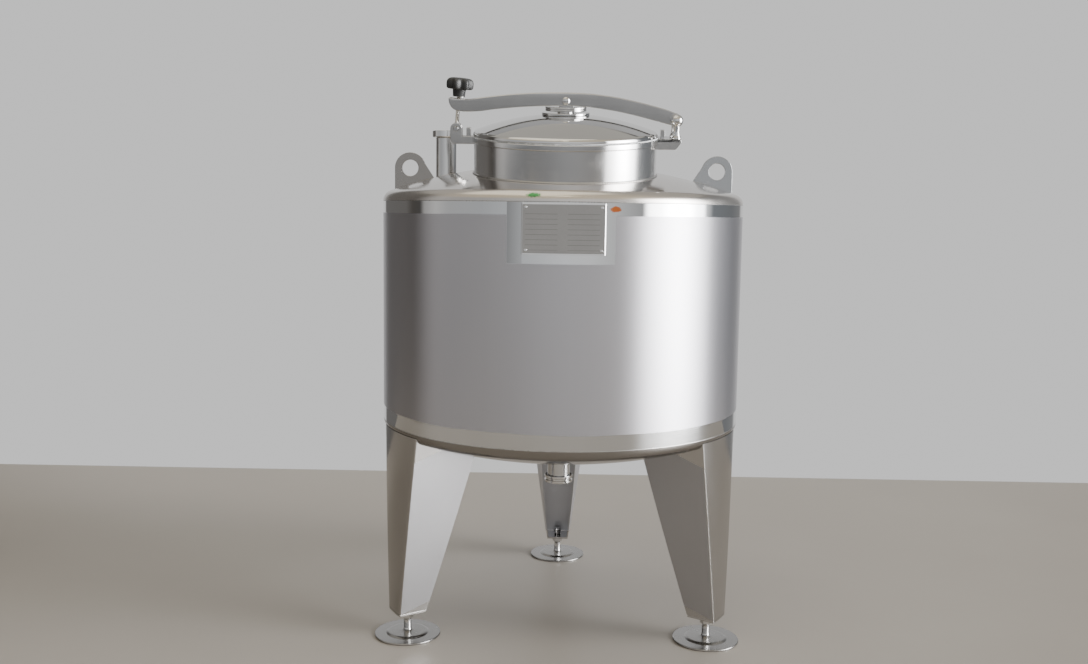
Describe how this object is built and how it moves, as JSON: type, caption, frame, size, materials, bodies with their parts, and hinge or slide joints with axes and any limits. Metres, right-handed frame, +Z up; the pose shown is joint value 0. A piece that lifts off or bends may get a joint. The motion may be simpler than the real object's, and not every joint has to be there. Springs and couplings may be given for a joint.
{
  "type": "vertical storage tank",
  "caption": "Upright cylindrical stainless-steel storage tank with dished ends on tapered legs, with a clamped top manway, vent, lifting eyes, nameplate and bottom outlet.",
  "frame": {"origin": "on the floor, at the centre of the footprint; the tank's axis stands 19 mm in front of it", "axes": "+Z up, -Y towards the nameplate and the lower side of the tilted manway, +X towards the arm's pivot"},
  "size_m": [1, 1.0736, 1.4893],
  "materials": {
    "satin_steel": "satin ground stainless steel",
    "polished_steel": "finely polished stainless steel",
    "leg_steel": "dull rolled stainless steel",
    "bright_steel": "bright polished stainless steel",
    "plate_steel": "matte etched stainless steel",
    "seal": "pale food-grade rubber",
    "black_knob": "black moulded plastic"
  },
  "bodies": {
    "tank": {"shell": "satin_steel", "top_head": "polished_steel", "bottom_head": "satin_steel", "manway_neck": "satin_steel", "manway_rim": "polished_steel", "manway_gasket": "seal", "pivot_bracket": "polished_steel", "pivot_post_front": "bright_steel", "pivot_post_rear": "bright_steel", "pivot_pin": "bright_steel", "clamp_bracket": "polished_steel", "swing_pin": "bright_steel", "vent_pipe": "satin_steel", "vent_ferrule": "polished_steel", "outlet_pipe": "satin_steel", "outlet_ferrule": "polished_steel", "lifting_lug_left": "satin_steel", "lifting_lug_right": "satin_steel", "nameplate_bracket": "polished_steel", "nameplate": "plate_steel", "leg_left": "leg_steel", "leg_base_left": "leg_steel", "foot_locknut_left": "bright_steel", "foot_spindle_left": "bright_steel", "foot_disc_left": "leg_steel", "leg_right": "leg_steel", "leg_base_right": "leg_steel", "foot_locknut_right": "bright_steel", "foot_spindle_right": "bright_steel", "foot_disc_right": "leg_steel", "leg_rear": "leg_steel", "leg_base_rear": "leg_steel", "foot_locknut_rear": "bright_steel", "foot_spindle_rear": "bright_steel", "foot_disc_rear": "leg_steel"},
    "lid_and_arm": {"manway_lid": "bright_steel", "lid_boss": "bright_steel", "pressure_pad": "bright_steel", "clamp_arm": "bright_steel", "arm_centre_bolt": "bright_steel"},
    "hold_down_bolt": {"swing_bolt": "bright_steel"},
    "knob": {"star_knob": "black_knob", "knob_washer": "bright_steel"}
  },
  "joints": [
    {"name": "arm_lift", "type": "hinge", "parent": "tank", "child": "lid_and_arm", "pos_m": [0.289, -0.2384, 1.38666], "axis": [0, 0.9877, 0.1564], "range_deg": [0, 105]},
    {"name": "bolt_swing", "type": "hinge", "parent": "tank", "child": "hold_down_bolt", "pos_m": [-0.2795, -0.23396, 1.35861], "axis": [0, -0.9877, -0.1564], "range_deg": [0, 120]},
    {"name": "knob_turn", "type": "hinge", "parent": "hold_down_bolt", "child": "knob", "pos_m": [-0.27197, -0.24799, 1.44719], "axis": [0.0837, -0.1559, 0.9842], "continuous": true}
  ]
}
